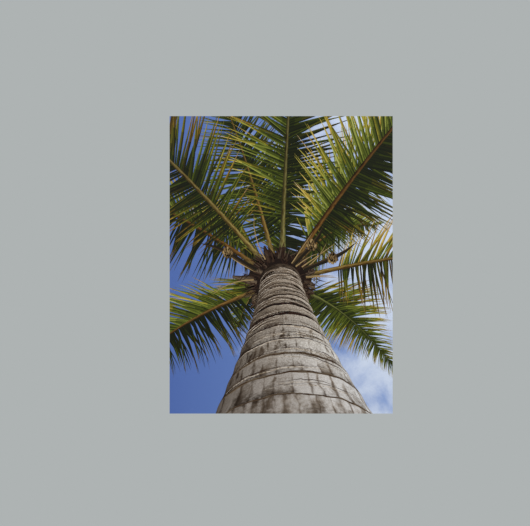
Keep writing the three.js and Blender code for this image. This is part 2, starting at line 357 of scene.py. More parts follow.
def rib_ink(name, shade, body, light):
    """A frond's rib has a hard skin: it is lit along one edge, with streaks 1 mm by 30 mm, brown
    weathering in spots 14 mm long, and a pale green bloom of wax on its foot."""
    material = printed_vinyl(name, body)
    tree = material.node_tree
    place = add_node(tree, "ShaderNodeUVMap", {}, uv_map="place")
    spot = add_node(tree, "ShaderNodeSeparateXYZ", {"Vector": place.outputs["UV"]})
    stretch = add_node(
        tree,
        "ShaderNodeVectorMath",
        {0: place.outputs["UV"], 1: (4, 1 / (30 * MM), 1)},
        operation="MULTIPLY",
    )
    streaks = add_node(
        tree, "ShaderNodeTexNoise", {"Vector": stretch.outputs[0], "Scale": 1, "Detail": 3}
    )
    lit = add_node(
        tree,
        "ShaderNodeMath",
        {0: spot.outputs["X"], 1: 0.46, 2: streaks.outputs["Fac"]},
        operation="MULTIPLY_ADD",
    )
    skin = colour_stops(
        add_node(tree, "ShaderNodeValToRGB", {"Fac": lit.outputs[0]}),
        ((0.12, shade), (0.42, body), (0.72, light), (0.9, body)),
    )
    fade = add_node(
        tree,
        "ShaderNodeMapRange",
        {"Value": spot.outputs["Y"], "From Max": 260 * MM, "To Min": 1.1, "To Max": 0.55},
    )
    faded = glazed(tree, skin, ((1, fade.outputs["Result"]),))
    wax = add_node(
        tree,
        "ShaderNodeMapRange",
        {"Value": spot.outputs["Y"], "From Max": 90 * MM, "To Min": 0.5, "To Max": 0},
    )
    waxed = add_node(
        tree,
        "ShaderNodeMix",
        {FACTOR: wax.outputs["Result"], UNDER: faded, OVERLAY: linear("#8E8C5C")},
        data_type="RGBA",
    )
    drawn_out = add_node(
        tree,
        "ShaderNodeVectorMath",
        {0: place.outputs["UV"], 1: (1.2, 1 / (14 * MM), 1)},
        operation="MULTIPLY",
    )
    weather = add_node(
        tree,
        "ShaderNodeTexNoise",
        {"Vector": drawn_out.outputs[0], "Scale": 1, "Detail": 4, "Roughness": 0.65},
    )
    spots = colour_stops(
        add_node(tree, "ShaderNodeValToRGB", {"Fac": weather.outputs["Fac"]}),
        ((0.34, "#8B7355"), (0.45, "#DCCFBD"), (0.58, "#FFFFFF")),
    )
    return paint(material, glazed(tree, waxed.outputs[MIXED], ((1, spots),)))


def bark_bands(tree, below):
    """The bands between ring scars, counted down from the first scar: how far down its band a spot
    lies, from 0 to 1, and the band's number."""
    passed = add_node(
        tree,
        "ShaderNodeMapRange",
        {"Value": below, "From Min": FIRST_RING, "From Max": FIRST_RING + RING_SPAN},
        clamp=False,
    )
    spread = add_node(
        tree,
        "ShaderNodeMath",
        {0: passed.outputs["Result"], 1: 1 / RING_CROWDING},
        operation="POWER",
    )
    counted = add_node(
        tree, "ShaderNodeMath", {0: spread.outputs[0], 1: RING_COUNT - 1}, operation="MULTIPLY"
    )
    band = add_node(tree, "ShaderNodeMath", {0: counted.outputs[0]}, operation="FRACT")
    row = add_node(tree, "ShaderNodeMath", {0: counted.outputs[0]}, operation="FLOOR")
    return band.outputs[0], row.outputs[0]


def bark_fibres(tree, place):
    """Fine dark fibres that run round the trunk, about 10 mm apart at the palm."""
    level = add_node(
        tree, "ShaderNodeVectorMath", {0: place, 1: (7, 95, 1)}, operation="MULTIPLY"
    )
    threads = add_node(
        tree,
        "ShaderNodeTexNoise",
        {"Vector": level.outputs[0], "Scale": 1, "Detail": 4, "Distortion": 0.4},
    )
    return colour_stops(
        add_node(tree, "ShaderNodeValToRGB", {"Fac": threads.outputs["Fac"]}),
        ((0.32, "#5C5248"), (0.44, "#B9B0A6"), (0.54, "#F0ECE7"), (0.66, "#FFFFFF")),
    )


def bark_patches(tree, place, across, below, row, mottle):
    """Patches of unlike width, about 13 to the trunk's breadth, between upright cracks that waver every
    45 mm or so: each patch's own colour, and how far inside its edge a spot lies, from 0 to 1. The
    edges are softer nearer the foot."""
    laid = add_node(tree, "ShaderNodeCombineXYZ", {"X": across, "Y": row})
    wobble = add_node(tree, "ShaderNodeTexNoise", {"Vector": place, "Scale": 22, "Detail": 2})
    counted = add_node(
        tree, "ShaderNodeVectorMath", {0: laid.outputs[0], 1: (13, 3.7, 1)}, operation="MULTIPLY"
    )
    cells = add_node(
        tree,
        "ShaderNodeVectorMath",
        {0: wobble.outputs["Color"], 1: (0.4, 0.4, 0), 2: counted.outputs[0]},
        operation="MULTIPLY_ADD",
    )
    patches = add_node(
        tree,
        "ShaderNodeTexVoronoi",
        {"Vector": cells.outputs[0], "Scale": 1},
        voronoi_dimensions="2D",
    )
    edges = add_node(
        tree,
        "ShaderNodeTexVoronoi",
        {"Vector": cells.outputs[0], "Scale": 1},
        feature="DISTANCE_TO_EDGE",
        voronoi_dimensions="2D",
    )
    broken = add_node(
        tree,
        "ShaderNodeMath",
        {0: mottle, 1: 0.6, 2: edges.outputs["Distance"]},
        operation="MULTIPLY_ADD",
    )
    softness = add_node(
        tree,
        "ShaderNodeMapRange",
        {"Value": below, "From Min": 0.6, "From Max": 1.15, "To Min": 0.36, "To Max": 0.48},
    )
    inside = add_node(
        tree,
        "ShaderNodeMapRange",
        {"Value": broken.outputs[0], "From Min": 0.24, "From Max": softness.outputs["Result"]},
        interpolation_type="SMOOTHSTEP",
    )
    return patches.outputs["Color"], inside.outputs["Result"]


def bark_lichen(tree, growth, causes, limits):
    """How much of a spot pale lichen covers. Each cause adds to its growth or takes from it, and each
    limit then lessens it."""
    for cause, effect in causes:
        growth = add_node(
            tree, "ShaderNodeMath", {0: cause, 1: effect, 2: growth}, operation="MULTIPLY_ADD"
        ).outputs[0]
    lichen = add_node(
        tree,
        "ShaderNodeMapRange",
        {"Value": growth, "From Min": 0.86, "From Max": 1.34},
        interpolation_type="SMOOTHSTEP",
    ).outputs["Result"]
    for limit in limits:
        lichen = add_node(
            tree, "ShaderNodeMath", {0: lichen, 1: limit}, operation="MULTIPLY"
        ).outputs[0]
    return lichen


def bark_light(tree, across, below):
    """Glazes for light from the right, and for shade under the crown and towards the foot."""
    from_right = colour_stops(
        add_node(tree, "ShaderNodeValToRGB", {"Fac": across}),
        (
            (0.0, "#6A6057"),
            (0.12, "#7E746B"),
            (0.4, "#BDB5AD"),
            (0.68, "#F0ECE8"),
            (0.93, "#FFFFFF"),
            (1.0, "#DED6CD"),
        ),
    )
    from_above = colour_stops(
        add_node(tree, "ShaderNodeValToRGB", {"Fac": below}),
        (
            (0.0, "#A89C91"),
            (0.06, "#DCD4CC"),
            (0.3, "#E8E3DE"),
            (0.8, "#EDECEA"),
            (1.0, "#E2E1E2"),
        ),
    )
    return (1, from_right), (1, from_above)


def bark_ink():
    """Palm bark: grey-brown cork in bands between ring scars, darker round its left side. Fine fibres
    run round it near the crown. Near the foot, upright cracks part pale patches of lichen, all
    softer, because the foot is nearest. Its map runs from 0 to 1 across and in metres down."""
    material = printed_vinyl("bark_ink", "#A3988A")
    tree = material.node_tree
    place = add_node(tree, "ShaderNodeUVMap", {}, uv_map="place").outputs["UV"]
    spot = add_node(tree, "ShaderNodeSeparateXYZ", {"Vector": place})
    across = spot.outputs["X"]
    below = spot.outputs["Y"]
    band, row = bark_bands(tree, below)

    # How strongly the fibres, the patches and the grain show on the way down
    near_crown = add_node(
        tree,
        "ShaderNodeMapRange",
        {"Value": below, "From Min": 0.1, "From Max": 1.0, "To Min": 1.0, "To Max": 0.3},
    ).outputs["Result"]
    near_foot = add_node(
        tree,
        "ShaderNodeMapRange",
        {"Value": below, "From Min": 0.45, "From Max": 0.85},
        interpolation_type="SMOOTHSTEP",
    ).outputs["Result"]
    in_focus = add_node(
        tree,
        "ShaderNodeMapRange",
        {"Value": below, "From Min": 0.6, "From Max": 1.1, "To Min": 1, "To Max": 0.3},
    ).outputs["Result"]
    freckled = add_node(
        tree, "ShaderNodeMath", {0: near_foot, 1: in_focus}, operation="MULTIPLY"
    ).outputs[0]

    # Noise that several layers share: a mottle about 70 mm long at the palm, and speckles of 9 mm
    mottle = add_node(
        tree,
        "ShaderNodeTexNoise",
        {"Vector": place, "Scale": 14, "Detail": 4, "Roughness": 0.6},
    ).outputs["Fac"]
    fine = add_node(
        tree, "ShaderNodeVectorMath", {0: place, 1: (60, 110, 1)}, operation="MULTIPLY"
    )
    speckle = add_node(
        tree,
        "ShaderNodeTexNoise",
        {"Vector": fine.outputs[0], "Scale": 1, "Detail": 3, "Roughness": 0.7},
    ).outputs["Fac"]

    # Cork, darkest at the scars, with its fibres, cracks and damp stains about 220 mm long
    cork = colour_stops(
        add_node(tree, "ShaderNodeValToRGB", {"Fac": band}),
        (
            (0.0, "#857A70"),
            (0.06, "#CDC5BC"),
            (0.16, "#ECE6DF"),
            (0.5, "#CBC3BA"),
            (0.85, "#AAA096"),
            (0.97, "#7E736A"),
        ),
    )
    patch_own, inside = bark_patches(tree, place, across, below, row, mottle)
    cracks = colour_stops(
        add_node(tree, "ShaderNodeValToRGB", {"Fac": inside}),
        ((0.0, "#B3A99F"), (0.5, "#E3DDD7"), (1.0, "#FFFFFF")),
    )
    damp = add_node(
        tree,
        "ShaderNodeTexNoise",
        {"Vector": place, "Scale": 4.5, "Detail": 3, "Roughness": 0.6},
    )
    stains = colour_stops(
        add_node(tree, "ShaderNodeValToRGB", {"Fac": damp.outputs["Fac"]}),
        ((0.36, "#A29689"), (0.6, "#FFFFFF")),
    )
    fibres = bark_fibres(tree, place)
    skin = glazed(tree, cork, ((near_crown, fibres), (near_foot, cracks), (near_foot, stains)))

    # Pale lichen in speckled patches, more in some bands than in others, and more on the right
    band_own = add_node(tree, "ShaderNodeTexWhiteNoise", {"W": row}, noise_dimensions="1D")
    causes = (
        (patch_own, 0.5),
        (band_own.outputs["Value"], 0.3),
        (speckle, 0.5),
        (band, -0.25),
        (across, 0.25),
    )
    lichen = bark_lichen(tree, mottle, causes, (inside, near_foot))
    skin = add_node(
        tree,
        "ShaderNodeMix",
        {FACTOR: lichen, UNDER: skin, OVERLAY: linear("#FAF8F7")},
        data_type="RGBA",
    ).outputs[MIXED]

    # Light and shade, freckles, and a grain of about 2 mm on the sheet
    freckles = colour_stops(
        add_node(tree, "ShaderNodeValToRGB", {"Fac": speckle}),
        ((0.34, "#BFB8B1"), (0.5, "#F0EDEA"), (0.62, "#FFFFFF")),
    )
    surface = add_node(tree, "ShaderNodeTexCoord", {})
    pores = add_node(
        tree,
        "ShaderNodeTexNoise",
        {"Vector": surface.outputs["Object"], "Scale": 1 / (2 * MM), "Detail": 2},
    )
    grain = colour_stops(
        add_node(tree, "ShaderNodeValToRGB", {"Fac": pores.outputs["Fac"]}),
        ((0.3, "#B4ADA5"), (0.6, "#FFFFFF")),
    )
    light = bark_light(tree, across, below)
    skin = glazed(tree, skin, (*light, (freckled, freckles), (in_focus, grain)))
    return paint(material, skin)


def white_vinyl_film():
    """Calendered PVC film, pigmented white: opaque, with a satin skin and a faint mottle."""
    material = printed_vinyl("white_vinyl_film", "#F2F2EF")
    tree = material.node_tree
    place = add_node(tree, "ShaderNodeTexCoord", {})
    mottle = add_node(
        tree,
        "ShaderNodeTexNoise",
        {"Vector": place.outputs["Object"], "Scale": 1 / (12 * MM), "Detail": 3},
    )
    tint = add_node(
        tree,
        "ShaderNodeMix",
        {FACTOR: mottle.outputs["Fac"], UNDER: linear("#ECECE8"), OVERLAY: linear("#F7F7F5")},
        data_type="RGBA",
    )
    return paint(material, tint.outputs[MIXED])


def acrylic_adhesive():
    """Acrylic pressure-sensitive adhesive, rolled on and pressed by its liner: milky, glossy and
    tacky, with a lattice of air channels, painted darker in their grooves as shade. They are 1.5 mm
    apart, and drawn at 7 mm to show."""
    material = bpy.data.materials.new("acrylic_adhesive")
    material.use_nodes = True
    tree = material.node_tree
    shader = tree.nodes["Principled BSDF"]
    shader.inputs["IOR"].default_value = 1.47
    place = add_node(tree, "ShaderNodeTexCoord", {})
    ridges = []
    for turn in (45, -45):
        turned = add_node(
            tree,
            "ShaderNodeVectorRotate",
            {"Vector": place.outputs["Object"], "Angle": math.radians(turn)},
            rotation_type="Y_AXIS",
        )
        lines = add_node(
            tree,
            "ShaderNodeTexWave",
            {"Vector": turned.outputs["Vector"], "Scale": UNIT_WAVE / (7 * MM)},
            wave_profile="SIN",
        )
        sharp = add_node(
            tree,
            "ShaderNodeMapRange",
            {"Value": lines.outputs["Fac"], "From Min": 0.0, "From Max": 0.18},
            interpolation_type="SMOOTHSTEP",
        )
        ridges.append(sharp.outputs["Result"])
    lattice = add_node(tree, "ShaderNodeMath", {0: ridges[0], 1: ridges[1]}, operation="MINIMUM")
    relief = add_node(
        tree,
        "ShaderNodeBump",
        {"Height": lattice.outputs[0], "Strength": 0.5, "Distance": 0.03 * MM},
    )
    # Painted shade: the channels' grooves are a darker grey than the adhesive between them
    film = add_node(
        tree,
        "ShaderNodeMix",
        {FACTOR: lattice.outputs[0], UNDER: linear("#C4C8C3"), OVERLAY: linear("#DADDD8")},
        data_type="RGBA",
    )
    gloss = add_node(
        tree,
        "ShaderNodeMapRange",
        {"Value": lattice.outputs[0], "To Min": 0.4, "To Max": 0.22},
    )
    tree.links.new(gloss.outputs["Result"], shader.inputs["Roughness"])
    tree.links.new(relief.outputs["Normal"], shader.inputs["Normal"])
    return paint(material, film.outputs[MIXED])


def ink_set(name, colours):
    return [printed_vinyl(f"{name}_{i:02d}", hex_colour) for i, hex_colour in enumerate(colours)]


# Leaves that are green, yellowing, golden and dry, each from the shade to where the sun shines through
LEAF_COLOURS = (
    ("#13160A", "#191D0B", "#21270B", "#2E350C", "#3F4712", "#545C1C", "#6E752C", "#8B8F43", "#A8A75F"),
    ("#15140A", "#1E1D0B", "#2B290C", "#3D3A0E", "#524E13", "#6A641B", "#857C27", "#A09438", "#B8A952"),
    ("#1A140A", "#281E0C", "#3A2C0D", "#503E12", "#685219", "#826823", "#9D8031", "#B59843", "#CAB060"),
    ("#1A130E", "#281C14", "#39291B", "#4E3A26", "#654E33", "#7F6543", "#997E56", "#B1976C", "#C8B187"),
)
LEAF_TONES = len(LEAF_COLOURS[0])
DRIEST = len(LEAF_COLOURS) - 1
LEAF_INKS = ink_set("leaf_ink", [colour for tones in LEAF_COLOURS for colour in tones])
FIBRE_INKS = ink_set(
    "fibre_ink",
    ("#1A0F0A", "#2C1B13", "#3C2B1F", "#4E4033", "#665644", "#83725D", "#A39383", "#C6B8A9"),
)
NUT_INKS = ink_set("nut_ink", ("#1E1810", "#3E2F1C", "#5F4B2F", "#846B46", "#A88E62"))

RIB_INKS = [
    rib_ink("rib_ink_green", "#2A3014", "#4E5626", "#80854A"),
    rib_ink("rib_ink_olive", "#36341A", "#5E582C", "#918854"),
    rib_ink("rib_ink_umber", "#3A2712", "#684B20", "#94733C"),
    rib_ink("rib_ink_ochre", "#3E2E13", "#6C5324", "#A08648"),
    rib_ink("rib_ink_straw", "#443817", "#74622F", "#A8965A"),
    rib_ink("rib_ink_moss", "#2A2C12", "#504F20", "#7C793E"),
    rib_ink("rib_ink_rust", "#33200F", "#5E4019", "#85602E"),
]


# Printed shapes


class Shape:
    """Printed patches that make up one piece: thin slabs that stand on the film."""

    def __init__(self):
        self.corners = []
        self.faces = []
        self.inks = []
        self.places = []

    def patch(self, grid, face, inks, places=None):
        """A slab over a grid of points of the sheet. inks holds one ink number for each cell."""
        rows, columns = grid.shape[:2]
        count = rows * columns
        first = len(self.corners)
        for height in (face, SKY_FACE):
            self.corners.extend((x, -height, z) for x, z in grid.reshape(-1, 2))
        if places is None:
            places = np.zeros_like(grid)
        self.places.extend([tuple(place) for place in places.reshape(-1, 2)] * 2)
        front = first + np.arange(count).reshape(rows, columns)
        for row in range(rows - 1):
            for column in range(columns - 1):
                corners = front[[row, row, row + 1, row + 1], [column, column + 1, column + 1, column]]
                self.add_face(corners, inks[row][column])
                self.add_face(corners[::-1] + count, inks[row][column])
        rim = [*front[0, :-1], *front[:-1, -1], *front[-1, :0:-1], *front[:0:-1, 0]]
        for start, end in zip(rim, rim[1:] + rim[:1]):
            self.add_face((end, start, start + count, end + count), inks[0][0])

    def add_face(self, corners, ink):
        self.faces.append([int(corner) for corner in corners])
        self.inks.append(ink)

    def ribbon(self, line, half_widths, face, inks, strips=1, lit_side=0):
        """A slab along a centre line. inks holds one ink number for each stretch and strip."""
        line = np.asarray(line)
        runs = np.gradient(line, axis=0)
        runs /= np.maximum(np.linalg.norm(runs, axis=1, keepdims=True), 1e-9)
        normals = np.stack((-runs[:, 1], runs[:, 0]), axis=1)
        across = np.linspace(-1, 1, strips + 1)
        offsets = normals[:, None] * np.asarray(half_widths)[:, None, None] * across[None, :, None]
        lengths = np.cumsum(np.r_[0, np.linalg.norm(np.diff(line, axis=0), axis=1)])
        places = np.stack(np.broadcast_arrays(across[None] * lit_side, lengths[:, None]), axis=2)
        self.patch(line[:, None] + offsets, face, inks, places)

    def piece(self, name, materials, nodes):
        """The shown piece, cut to the sheet. It rides on the body and stands for these nodes."""
        mesh = bpy.data.meshes.new(name)
        mesh.from_pydata(self.corners, [], self.faces)
        mesh.polygons.foreach_set("material_index", self.inks)
        ends = np.zeros(len(mesh.loops), np.int32)
        mesh.loops.foreach_get("vertex_index", ends)
        places = np.array(self.places, np.float32)[ends]
        mesh.uv_layers.new(name="place").uv.foreach_set("vector", places.ravel())
        for material in materials:
            mesh.materials.append(material)
        cut_to_sheet(mesh)
        made = bpy.data.objects.new(name, mesh)
        bpy.context.scene.collection.objects.link(made)
        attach(made, "root")
        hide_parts(*nodes)


def cut_to_sheet(mesh):
    """Cuts off what runs past the sheet's edges, and closes each cut with a face."""
    shape = bmesh.new()
    shape.from_mesh(mesh)
    edges = (
        (SHEET_LOW, (-1, 0, 0)),
        (SHEET_LOW, (0, 0, -1)),
        (SHEET_HIGH, (1, 0, 0)),
        (SHEET_HIGH, (0, 0, 1)),
    )
    for corner, outwards in edges:
        cut = bmesh.ops.bisect_plane(
            shape,
            geom=[*shape.verts, *shape.edges, *shape.faces],
            dist=1e-8,
            plane_co=corner,
            plane_no=outwards,
            clear_outer=True,
        )
        rim = [part for part in cut["geom_cut"] if isinstance(part, bmesh.types.BMEdge)]
        bmesh.ops.edgeloop_fill(shape, edges=rim)
    bmesh.ops.recalc_face_normals(shape, faces=shape.faces)
    shape.to_mesh(mesh)
    shape.free()


def numbered(name, number):
    return f"{name}_{number + 1:02d}"


# Fronds


class Frond:
    """One frond. Number 0 is the youngest and stands up, and the older ones lean out and hang."""

    def __init__(self, number):
        age = number / (FROND_COUNT - 1)
        self.number = number
        self.petiole = YOUNGEST_PETIOLE + PETIOLE_GROWTH * age**0.5
        self.bearing = math.radians(FIRST_BEARING + GOLDEN_ANGLE * number)
        self.face = SKY_FACE + (number + 1) * FROND_STEP
        overhead = max(0, math.sin(self.bearing))
        tilt = math.radians(YOUNGEST_TILT + TILT_WITH_AGE * age**0.9) * (1 - 0.25 * overhead)
        bend = math.radians(YOUNGEST_BEND + BEND_WITH_AGE * age)
        length = SHORTEST_FROND + FROND_GROWTH * math.sin(math.pi * min(1, 0.9 * age + 0.15))
        outwards = radial(self.bearing)
        self.sideways = np.cross(ALONG, outwards)
        chance = random.Random(THIRST_SEED + number).random()
        self.thirst = THIRST_OF_AGE * age + THIRST_BY_CHANCE * chance
        self.points = []
        self.directions = []
        point = CROWN + ALONG * HEART_HEIGHT * (1 - min(1, tilt / 1.6)) + outwards * HEART_RADIUS
        for step in range(RIB_STEPS + 1):
            if point[2] < NEAREST_RIB:
                break
            angle = tilt + bend * (step / RIB_STEPS) ** 1.6
            direction = ALONG * math.cos(angle) + outwards * math.sin(angle)
            self.points.append(point)
            self.directions.append(direction)
            point = point + direction * length / RIB_STEPS

    def clumps(self, share):
        """Degrees by which leaflets lean together in groups, so that sky shows between the groups."""
        return 4 * math.sin(97 * share + self.number) + 3 * math.sin(223 * share)


def leaflet(frond, share, side, draws):
    """Points of a leaflet's centre line at the palm, and its half widths on the sheet."""
    along = share * RIB_STEPS
    first = min(int(along), len(frond.points) - 2)
    point = blend(frond.points[first], frond.points[first + 1], along - first)
    rib = unit(blend(frond.directions[first], frond.directions[first + 1], along - first))
    above = np.cross(frond.sideways, rib)
    place = (share - frond.petiole) / (1 - frond.petiole)
    fullness = (0.5 + 0.5 * min(1, place / 0.15)) * (1 - max(0, place - 0.35))
    length = LEAFLET_LENGTH * fullness * draws.uniform(0.9, 1.08)
    degrees = FIRST_SPREAD - SPREAD_LOSS * place**0.7 + frond.clumps(share) + draws.uniform(-4, 4)
    spread = math.radians(degrees)
    lift = LEAFLET_LIFT * draws.uniform(-0.3, 1.3)
    heading = unit(math.cos(spread) * rib + side * math.sin(spread) * frond.sideways + lift * above)
    points = [point]
    for step in range(LEAFLET_STRETCHES):
        point = point + heading * length / LEAFLET_STRETCHES
        heading = unit(heading - ALONG * LEAFLET_DROOP * (step + 1) / LEAFLET_STRETCHES**2)
        points.append(point)
    points = np.array(points)
    turned = draws.uniform(0.5, 1.3)
    half_width = LEAFLET_HALF_WIDTH * (0.3 + 0.8 * fullness) * turned
    taper = even_steps(LEAFLET_TAPER, LEAFLET_STRETCHES + 1)
    return points, PICTURE_SCALE * half_width * taper / points[:, 2]


def leaf_inks(frond, line, side, draws):
    """Ink numbers along a leaflet, as pairs for its two halves: one in shade, and one lit. Leaflets dry
    from their tips."""
    own = FROND_LIGHT - FROND_LIGHT_SWING * math.sin(2.4 * frond.number)
    shade = CROWN_SHADE * max(0, 1 - np.linalg.norm(line[0] - CENTRE) / SHADE_REACH)
    lit = own + side * SIDE_LIGHT * math.cos(frond.bearing - SUN_BEARING) - shade
    lit += draws.uniform(-LIGHT_SCATTER, LIGHT_SCATTER)
    thirst = frond.thirst + draws.uniform(-THIRST_SCATTER, THIRST_SCATTER)
    inks = []
    for step, light in enumerate(even_steps(LEAFLET_LIGHT, LEAFLET_STRETCHES)):
        tone = int(LEAF_TONES * min(0.99, max(0, lit + light)))
        dryness = int(DRYING_PACE * (thirst + TIP_THIRST * step / LEAFLET_STRETCHES - GREEN_SHARE))
        first = LEAF_TONES * min(DRIEST, max(0, dryness))
        inks.append((first + max(tone - 1, 0), first + min(tone + 1, LEAF_TONES - 1)))
    return inks


def print_blade(frond):
    """The frond's leaflets, folded along their midribs, so that their halves differ in light."""
    draws = random.Random(BLADE_SEED + frond.number)
    shape = Shape()
    for index in range(LEAFLETS_PER_SIDE):
        share = frond.petiole + (LAST_LEAFLET - frond.petiole) * index / (LEAFLETS_PER_SIDE - 1)
        if share * RIB_STEPS > len(frond.points) - 1:
            break
        for side in (-1, 1):
            points, half_widths = leaflet(frond, share, side, draws)
            line = on_sheet(points)
            inks = leaf_inks(frond, line, side, draws)
            if points[:, 2].min() < NEAREST_LEAFLET:
                continue
            face = frond.face - LEAFLET_STEP * (1 + index % LEAFLET_STEPS)
            shape.ribbon(line, half_widths, face, inks, strips=2)
    node = numbered("ink_frond", frond.number)
    shape.piece(numbered("printed_frond", frond.number), LEAF_INKS, [node])


def print_rib(frond):
    """The frond's rib, from its broad foot to where it thins out."""
    points = np.array(frond.points)
    shares = np.arange(len(points)) / RIB_STEPS
    foot = RIB_FOOT * np.maximum(0, 1 - shares / RIB_FOOT_SHARE)
    body = RIB_HALF_WIDTH * (1 - shares) ** 1.3
    half_widths = PICTURE_SCALE * (body + foot + RIB_TIP) / points[:, 2]
    line = on_sheet(points)
    lit_side = 1 if (line[-1] - line[0]) @ ACROSS_SUN < 0 else -1
    shape = Shape()
    inks = [(0,) * 4] * (len(points) - 1)
    shape.ribbon(line, half_widths, frond.face, inks, strips=4, lit_side=lit_side)
    ink = RIB_INKS[frond.number % len(RIB_INKS)]
    node = numbered("ink_rib", frond.number)
    shape.piece(numbered("printed_rib", frond.number), [ink], [node])


# Trunk


def ring_depth(number):
    """Metres below the crown of a ring scar. They lie closer together towards the crown."""
    return FIRST_RING + RING_SPAN * (number / (RING_COUNT - 1)) ** RING_CROWDING


def trunk_point(below, share):
    """A point of the trunk's seen face: metres below the crown, and share of the way to the right.
    The trunk flares towards its foot, and stands out a little at each ring scar. Its rings waver."""
    waver = 0.004 * math.sin(7 * share + 31 * below) + 0.002 * math.sin(23 * share - 47 * below + 1)
    below = max(0, below + waver + 0.001 * math.sin(61 * share + 113 * below))
    passed = max(0, (below - FIRST_RING) / RING_SPAN) ** (1 / RING_CROWDING) * (RING_COUNT - 1)
    flare = TRUNK_FLARE * (below / FLARE_LENGTH) ** FLARE_POWER
    radius = TRUNK_TOP_RADIUS + flare + TRUNK_LIP * math.cos(2 * math.pi * passed)
    slope = FLARE_POWER * TRUNK_FLARE / FLARE_LENGTH * (below / FLARE_LENGTH) ** (FLARE_POWER - 1)
    viewer = CROWN - ALONG * below
    reach = TRUNK_TOP_RADIUS + flare + slope * (viewer @ ALONG)
    half_turn = math.acos(reach / math.hypot(viewer @ ACROSS, viewer @ OVER)) - EDGE_INSET
    facing = math.atan2(-(viewer @ OVER), -(viewer @ ACROSS))
    return on_sheet(viewer + radial(facing + half_turn * (1 - 2 * share)) * radius)


def print_trunk():
    """The trunk's seen face, from its foot below the sheet's edge to its head in the collar."""
    depths = np.linspace(TRUNK_LENGTH, 0, TRUNK_ROWS)
    shares = np.linspace(0, 1, TRUNK_COLUMNS)
    grid = np.array([[trunk_point(below, share) for share in shares] for below in depths])
    places = np.stack(np.broadcast_arrays(shares[None], depths[:, None]), axis=2)
    shape = Shape()
    shape.patch(grid, TRUNK_FACE, np.zeros((len(depths), len(shares)), int).tolist(), places)
    shape.piece("printed_trunk", [bark_ink()], ["ink_trunk"])


def crescent(shape, draws, below, middle, span, half_width, face, tones, slant=0):
    """A ragged line round part of the trunk, broadest in its middle. It may sink towards the right.
    tones are ink numbers."""
    first = max(SCAR_MARGIN, middle - span / 2)
    last = min(1 - SCAR_MARGIN, middle + span / 2)
    shares = np.linspace(first, last, SCAR_STEPS)
    line = []
    half_widths = []
    waver = 0
    swell = 0.7
    for share in shares:
        waver = 0.8 * waver + draws.uniform(-0.0012, 0.0012)
        swell = min(1, max(0.3, swell + draws.uniform(-0.14, 0.14)))
        line.append(trunk_point(below + waver + slant * (share - middle), share))
        reach = abs(share - middle) / (0.55 * span)
        edge = min(1, 5 * share, 5 * (1 - share))
        half_widths.append(half_width * swell * edge * max(0.06, 1 - reach**2))
    shape.ribbon(line, half_widths, face, [(draws.choice(tones),) for _ in shares[1:]])


def print_creases(shape, draws, below, gap, count):
    """Finer creases under a ring scar: short dark lines, each with a pale lip below it."""
    for _ in range(count):
        place = below + gap * draws.uniform(0.12, 0.95)
        middle = draws.uniform(0.1, 0.9)
        span = draws.uniform(0.25, 0.8)
        slant = draws.uniform(-0.05, 0.05)
        half = draws.uniform(0.5, 1.1) * MM
        crescent(shape, draws, place + 0.1 * gap, middle, span, half, LIP_FACE, (5, 6, 7, 7), slant)
        crescent(shape, draws, place, middle, span, half, CREASE_FACE, (1, 1, 2, 3), slant)


def print_scars():
    """Ring scars: dark ragged lines round the trunk, some broad and some hardly there, each with a pale
    lip below it. Near the foot they are thin, on a softer brown line. Creases run between them, more
    of them near the crown."""
    draws = random.Random(SCAR_SEED)
    for number in range(RING_COUNT):
        below = ring_depth(number)
        gap = ring_depth(number + 1) - below
        age = number / (RING_COUNT - 1)
        breadth = np.linalg.norm(trunk_point(below, 0) - trunk_point(below, 1))
        middle = draws.uniform(0.3, 0.7)
        half_width = breadth * SCAR_HALF_WIDTH * draws.choice((0.45, 0.8, 1.1, 1.5))
        shape = Shape()
        if age < SOFT_FROM:
            crescent(shape, draws, below + 0.08 * gap, middle, 1.2, 0.7 * half_width, LIP_FACE, (6, 7))
            crescent(shape, draws, below, middle, 1.3, half_width, SCAR_FACE, (0, 0, 1))
        else:
            half_width = breadth * draws.uniform(*FOOT_SCAR_HALF_WIDTHS)
            crescent(shape, draws, below, middle, 2, 1.8 * half_width, CREASE_FACE, (4,))
            crescent(shape, draws, below, middle, 2, half_width, SCAR_FACE, (2, 3))
        print_creases(shape, draws, below, gap, round(CREASES_AT_CROWN * (1 - age**2)))
        node = numbered("ink_ring", number)
        shape.piece(numbered("printed_scar", number), FIBRE_INKS, [node])


# Collar and nuts


def leaf_base(shape, draws, number):
    """The woody foot of a frond, cut or torn. Those at the sides are the palest, and reach farthest."""
    angle = math.radians(GOLDEN_ANGLE * number + draws.uniform(-9, 9))
    turned = angle + draws.uniform(-0.25, 0.25)
    start = CENTRE + sheet_direction(angle) * COLLAR_REACH * draws.uniform(0.48, 0.72)
    farthest = 0.95 + 0.25 * abs(math.cos(angle))
    end = CENTRE + sheet_direction(turned) * COLLAR_REACH * draws.uniform(0.8, farthest)
    line = [blend(start, end, share) for share in (0, 0.35, 0.7, 1)]
    tone = 2 + round(3.4 * abs(math.cos(angle)) ** 1.5 * draws.uniform(0.4, 1))
    inks = [(tone - 1, tone, tone, tone - 2)] * 2 + [(tone - 2, tone - 1, tone, tone - 2)]
    half = draws.uniform(4, 8.5) * MM
    half_widths = [half * 0.7, half, half * 0.8, half * 0.3]
    face = COLLAR_FACE + COLLAR_STEP * (1 + number % 5)
    shape.ribbon(line, half_widths, face, inks, strips=4)


def thread(shape, start, way, sag, half, face, tone):
    """A fibre that thins out to its end."""
    line = [start, start + way * 0.5, start + way + sag]
    shape.ribbon(line, [half, half * 0.8, half * 0.2], face, [(tone,)] * 2)


